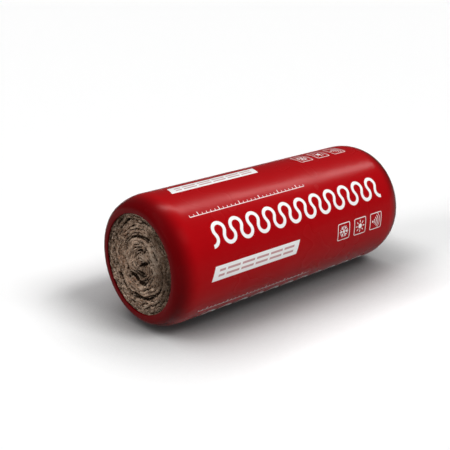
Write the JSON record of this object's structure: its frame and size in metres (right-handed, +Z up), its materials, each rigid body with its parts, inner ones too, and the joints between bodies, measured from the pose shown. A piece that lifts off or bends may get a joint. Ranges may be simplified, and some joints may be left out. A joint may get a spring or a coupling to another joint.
{
  "type": "insulation roll",
  "caption": "Cylindrical roll of mineral wool insulation in a shrunk film sleeve, open at both ends where the wound turns show.",
  "frame": {"origin": "on the floor, under the middle of the roll", "axes": "+X along the roll's axis, +Z up"},
  "size_m": [1.22, 0.5, 0.4998],
  "materials": {
    "wool": "brown fibrous mineral wool",
    "film": "satin red polyethylene film with white printing"
  },
  "bodies": {
    "root": {"wool_roll": "wool", "film_sleeve": "film"}
  },
  "joints": []
}
